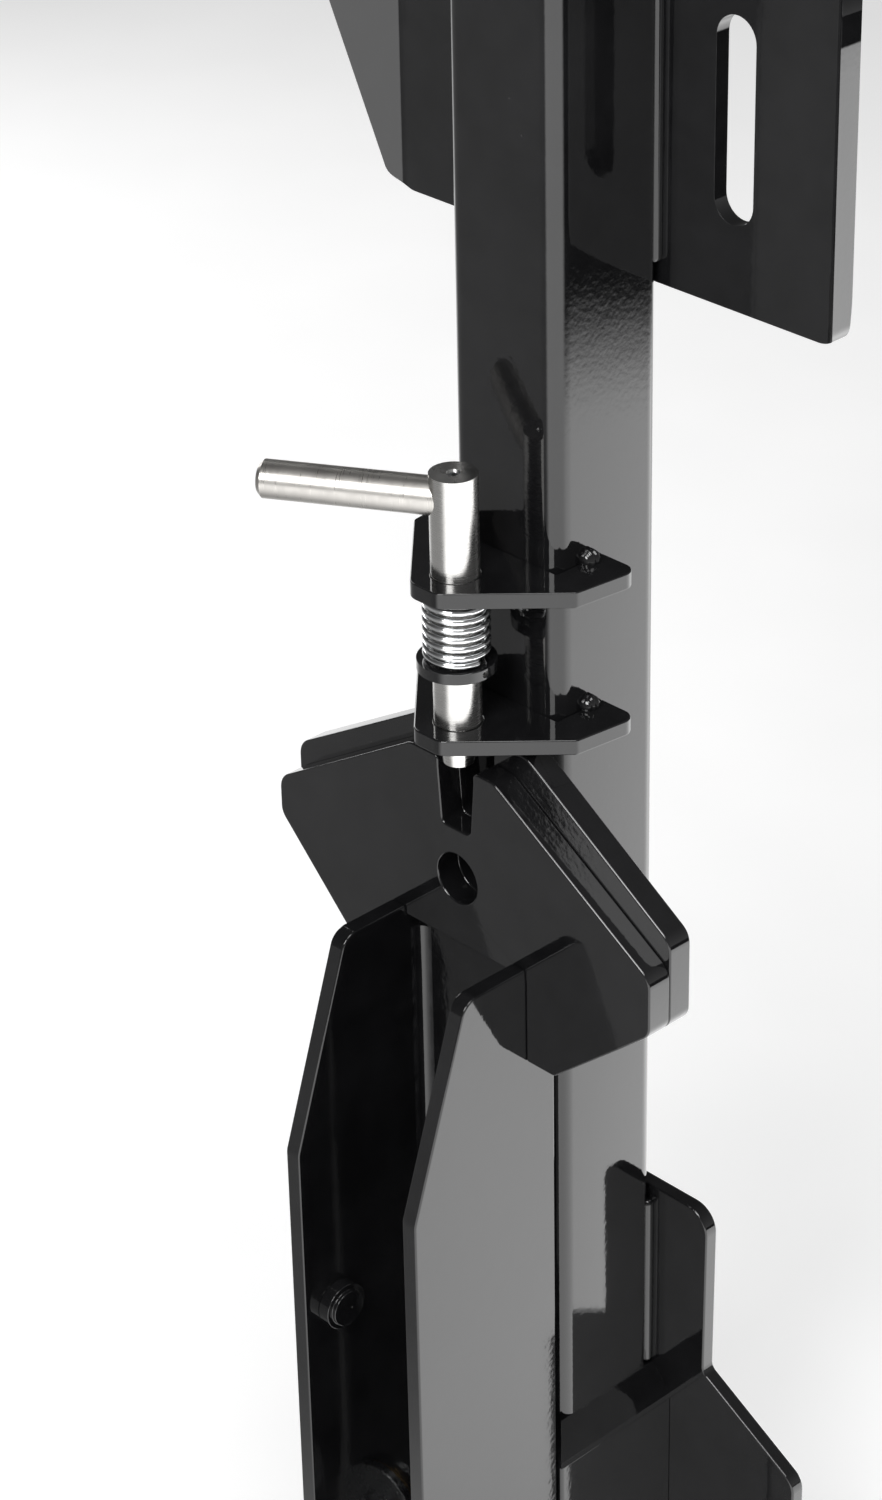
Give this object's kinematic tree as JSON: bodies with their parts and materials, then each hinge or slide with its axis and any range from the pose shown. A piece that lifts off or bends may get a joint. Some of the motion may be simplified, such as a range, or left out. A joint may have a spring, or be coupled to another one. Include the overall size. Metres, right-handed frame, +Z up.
{
  "type": "locking post bracket",
  "caption": "Square steel post with slotted bent mounting plates, a spring-loaded pull pin in yoke brackets and a notched swinging lock head with a clevis.",
  "frame": {"origin": "centre of the slot pattern on the back face of the upper wing plate", "axes": "+X to the right of the front seen from the front, +Y out of the back face that bolts on, +Z up along the post"},
  "size_m": [0.292, 0.1625, 0.85],
  "materials": {
    "black_powder_coat": "gloss powder coat with orange peel",
    "stainless": "satin turned stainless",
    "spring_zinc": "bright zinc plated spring wire",
    "zinc_plate": "bright zinc plate",
    "bare_steel": "bare machined steel",
    "bronze": "plain bearing bronze",
    "black_plastic": "moulded matt polyethylene"
  },
  "bodies": {
    "post": {"post_tube": "black_powder_coat", "post_cap": "black_plastic", "upper_wing_plate": "black_powder_coat", "lower_wing_plate": "black_powder_coat", "wing_welds": "black_powder_coat", "upper_pin_bracket": "black_powder_coat", "lower_pin_bracket": "black_powder_coat", "bracket_welds": "black_powder_coat", "base_sleeve": "black_powder_coat", "sleeve_collar": "black_powder_coat", "sleeve_end_plate": "black_powder_coat", "pivot_boss": "bare_steel", "pivot_thrust_washer": "bare_steel", "pivot_retaining_washer": "zinc_plate", "pivot_bolt": "zinc_plate"},
    "lock_head": {"front_lock_plate": "black_powder_coat", "rear_lock_plate": "black_powder_coat", "left_cheek": "black_powder_coat", "right_cheek": "black_powder_coat", "cheek_web": "black_powder_coat", "pivot_bush": "bronze", "rest_studs": "black_powder_coat", "head_welds": "black_powder_coat"},
    "pull_pin": {"lock_pin": "stainless", "pull_handle": "stainless", "handle_screw": "zinc_plate", "spring_collar": "black_powder_coat", "collar_roll_pin": "bare_steel", "lock_spring": "spring_zinc"}
  },
  "joints": [
    {"name": "pin_slide", "type": "slide", "parent": "post", "child": "pull_pin", "axis": [0, 0, 1], "range_m": [-0.0245, 0], "stiffness_N_per_m": 900, "springref_m": -0.05, "deforming": ["lock_spring"]},
    {"name": "head_swing", "type": "hinge", "parent": "post", "child": "lock_head", "pos_m": [0, -0.084, -0.705], "axis": [0, 1, 0], "range_deg": [-20, 20]}
  ]
}
